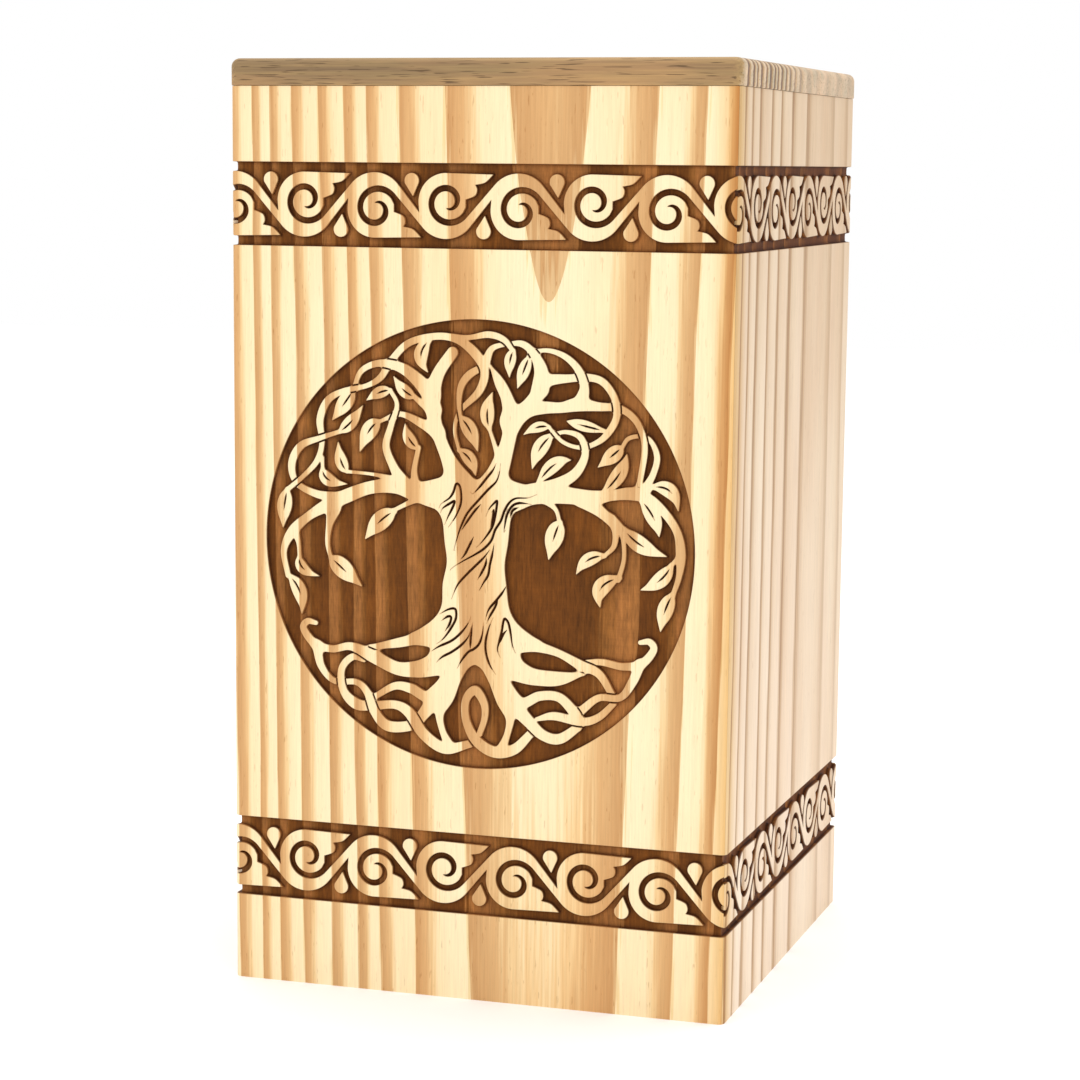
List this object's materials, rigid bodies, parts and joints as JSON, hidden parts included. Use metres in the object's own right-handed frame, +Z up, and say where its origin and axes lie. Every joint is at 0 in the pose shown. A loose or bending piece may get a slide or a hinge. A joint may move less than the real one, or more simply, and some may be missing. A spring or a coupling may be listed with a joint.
{
  "type": "cremation urn box",
  "caption": "Tall square wooden urn box with a flush lift-off lid, carved scroll bands round all four sides and a round tree-of-life panel sunk in the front.",
  "frame": {"origin": "middle of the underside", "axes": "+Z up, the carved front looks along -Y, +X to the right of someone facing the front"},
  "size_m": [0.1508, 0.1508, 0.27],
  "materials": {
    "front_board": "clear satin pine with burnt carving",
    "right_board": "clear satin pine with burnt carving",
    "back_board": "clear satin pine with burnt carving",
    "left_board": "clear satin pine with burnt carving",
    "base_panel": "plain planed pine",
    "lid": "satin blue-stained pine"
  },
  "bodies": {
    "root": {"front_board": "front_board", "right_board": "right_board", "back_board": "back_board", "left_board": "left_board", "base_panel": "base_panel", "lid": "lid"}
  },
  "joints": []
}
